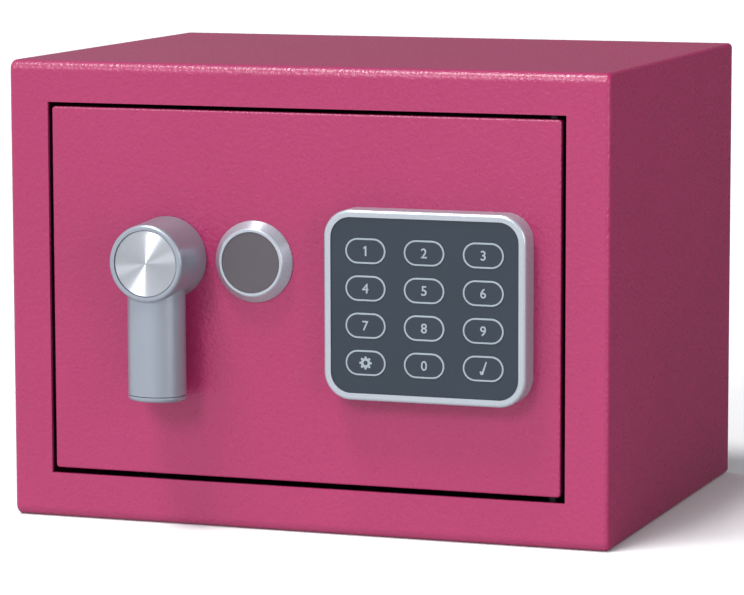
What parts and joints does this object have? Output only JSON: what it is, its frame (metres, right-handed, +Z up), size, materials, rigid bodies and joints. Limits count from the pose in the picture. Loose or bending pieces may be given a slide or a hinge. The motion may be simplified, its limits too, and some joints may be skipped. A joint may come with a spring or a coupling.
{
  "type": "small electronic safe",
  "caption": "Compact steel safe with a hinged front door, turning handle that throws locking bolts, keypad and a round cap over an override lock.",
  "frame": {"origin": "centre of the case's flat underside", "axes": "+Z up, -Y out of the front door, +X to the right of someone who faces the door"},
  "size_m": [0.228, 0.1915, 0.1685],
  "materials": {
    "case_paint": "fine-textured powder coat",
    "zinc_sheet": "zinc plated",
    "cover_paint": "fine-textured powder coat",
    "bush_brass": "turned",
    "pin_steel": "turned",
    "bolt_steel": "bright turned",
    "screw_steel": "zinc plated",
    "spring_steel": "bright",
    "mat_fabric": "short pile",
    "coil_winding": "taped winding",
    "lock_chrome": "polished",
    "board_green": "solder mask",
    "black_plastic": "fine textured",
    "battery_sleeve": "printed sleeve with no text",
    "housing_silver": "silver painted",
    "faceplate_slate": "satin print",
    "silicone_rubber": "soft",
    "cable_sheath": "smooth",
    "handle_silver": "satin silver",
    "spun_disc": "spun",
    "cap_chrome": "satin plated",
    "badge_grey": "satin",
    "button_red": "smooth",
    "key_slate": "satin with a light outline"
  },
  "bodies": {
    "case": {"case_shell": "case_paint", "back_plate": "case_paint", "floor_mat": "mat_fabric", "strike_plate": "zinc_sheet", "hinge_brackets": "zinc_sheet", "hinge_bushes": "bush_brass"},
    "door": {"door_plate": "case_paint", "door_chassis": "zinc_sheet", "hinge_tabs": "zinc_sheet", "hinge_pins": "pin_steel", "door_rear_cover": "cover_paint", "rear_cover_screws": "screw_steel", "guide_studs": "pin_steel", "spindle_bearing": "bush_brass", "solenoid_frame": "zinc_sheet", "solenoid_coil": "coil_winding", "override_barrel": "lock_chrome", "override_nut": "screw_steel", "control_board": "board_green", "board_standoffs": "bush_brass", "buzzer": "black_plastic", "battery_tray": "black_plastic", "battery_contacts": "spring_steel", "batteries": "battery_sleeve", "keypad_housing": "housing_silver", "keypad_faceplate": "faceplate_slate", "keypad_mat": "silicone_rubber", "keypad_board": "board_green", "keypad_screws": "screw_steel", "keypad_cable": "cable_sheath"},
    "handle": {"handle_lever": "handle_silver", "handle_end_cap": "handle_silver", "handle_face": "spun_disc", "handle_spindle": "pin_steel", "handle_cam": "zinc_sheet", "spindle_nut": "screw_steel"},
    "carriage": {"bolt_carriage": "zinc_sheet", "locking_bolts": "bolt_steel", "bolt_screws": "screw_steel"},
    "plunger": {"solenoid_plunger": "pin_steel", "plunger_spring": "spring_steel"},
    "override_cap": {"cap_ring": "cap_chrome", "cap_badge": "badge_grey"},
    "override_lock": {"override_plug": "lock_chrome", "override_cam": "zinc_sheet"},
    "battery_lid": {"battery_lid": "black_plastic"},
    "reset_button": {"reset_button": "button_red"},
    "key_1": {"key_1": "key_slate"},
    "key_2": {"key_2": "key_slate"},
    "key_3": {"key_3": "key_slate"},
    "key_4": {"key_4": "key_slate"},
    "key_5": {"key_5": "key_slate"},
    "key_6": {"key_6": "key_slate"},
    "key_7": {"key_7": "key_slate"},
    "key_8": {"key_8": "key_slate"},
    "key_9": {"key_9": "key_slate"},
    "key_set": {"key_set": "key_slate"},
    "key_0": {"key_0": "key_slate"},
    "key_enter": {"key_enter": "key_slate"}
  },
  "joints": [
    {"name": "door_hinge", "type": "hinge", "parent": "case", "child": "door", "pos_m": [0.0925, -0.0795, 0.0852], "axis": [0, 0, 1], "range_deg": [0, 90]},
    {"name": "handle_turn", "type": "hinge", "parent": "door", "child": "handle", "pos_m": [-0.0518, -0.085, 0.0983], "axis": [0, 1, 0], "range_deg": [0, 90]},
    {"name": "bolt_slide", "type": "slide", "parent": "door", "child": "carriage", "axis": [-1, 0, 0], "range_m": [0, 0.014]},
    {"name": "solenoid_plunger_pull", "type": "slide", "parent": "door", "child": "plunger", "axis": [0, 0, -1], "range_m": [0, 0.005], "stiffness_N_per_m": 200, "springref_m": -0.002, "deforming": ["plunger_spring"]},
    {"name": "override_cap_pull", "type": "slide", "parent": "door", "child": "override_cap", "axis": [0, -1, 0], "range_m": [0, 0.025]},
    {"name": "override_lock_turn", "type": "hinge", "parent": "door", "child": "override_lock", "pos_m": [-0.0184, -0.085, 0.098], "axis": [0, 1, 0], "range_deg": [0, 90]},
    {"name": "battery_lid_lift", "type": "slide", "parent": "door", "child": "battery_lid", "axis": [0, 1, 0], "range_m": [0, 0.012]},
    {"name": "reset_button_press", "type": "slide", "parent": "door", "child": "reset_button", "axis": [0, -1, 0], "range_m": [0, 0.0015], "stiffness_N_per_m": 300, "springref_m": -0.0005},
    {"name": "key_1_press", "type": "slide", "parent": "door", "child": "key_1", "axis": [0, 1, 0], "range_m": [0, 0.0006], "stiffness_N_per_m": 500, "springref_m": -0.0002},
    {"name": "key_2_press", "type": "slide", "parent": "door", "child": "key_2", "axis": [0, 1, 0], "range_m": [0, 0.0006], "stiffness_N_per_m": 500, "springref_m": -0.0002},
    {"name": "key_3_press", "type": "slide", "parent": "door", "child": "key_3", "axis": [0, 1, 0], "range_m": [0, 0.0006], "stiffness_N_per_m": 500, "springref_m": -0.0002},
    {"name": "key_4_press", "type": "slide", "parent": "door", "child": "key_4", "axis": [0, 1, 0], "range_m": [0, 0.0006], "stiffness_N_per_m": 500, "springref_m": -0.0002},
    {"name": "key_5_press", "type": "slide", "parent": "door", "child": "key_5", "axis": [0, 1, 0], "range_m": [0, 0.0006], "stiffness_N_per_m": 500, "springref_m": -0.0002},
    {"name": "key_6_press", "type": "slide", "parent": "door", "child": "key_6", "axis": [0, 1, 0], "range_m": [0, 0.0006], "stiffness_N_per_m": 500, "springref_m": -0.0002},
    {"name": "key_7_press", "type": "slide", "parent": "door", "child": "key_7", "axis": [0, 1, 0], "range_m": [0, 0.0006], "stiffness_N_per_m": 500, "springref_m": -0.0002},
    {"name": "key_8_press", "type": "slide", "parent": "door", "child": "key_8", "axis": [0, 1, 0], "range_m": [0, 0.0006], "stiffness_N_per_m": 500, "springref_m": -0.0002},
    {"name": "key_9_press", "type": "slide", "parent": "door", "child": "key_9", "axis": [0, 1, 0], "range_m": [0, 0.0006], "stiffness_N_per_m": 500, "springref_m": -0.0002},
    {"name": "key_set_press", "type": "slide", "parent": "door", "child": "key_set", "axis": [0, 1, 0], "range_m": [0, 0.0006], "stiffness_N_per_m": 500, "springref_m": -0.0002},
    {"name": "key_0_press", "type": "slide", "parent": "door", "child": "key_0", "axis": [0, 1, 0], "range_m": [0, 0.0006], "stiffness_N_per_m": 500, "springref_m": -0.0002},
    {"name": "key_enter_press", "type": "slide", "parent": "door", "child": "key_enter", "axis": [0, 1, 0], "range_m": [0, 0.0006], "stiffness_N_per_m": 500, "springref_m": -0.0002}
  ],
  "couplings": [
    {"joint": "bolt_slide", "follows": "handle_turn", "m_per_rad": 0.0089127}
  ]
}
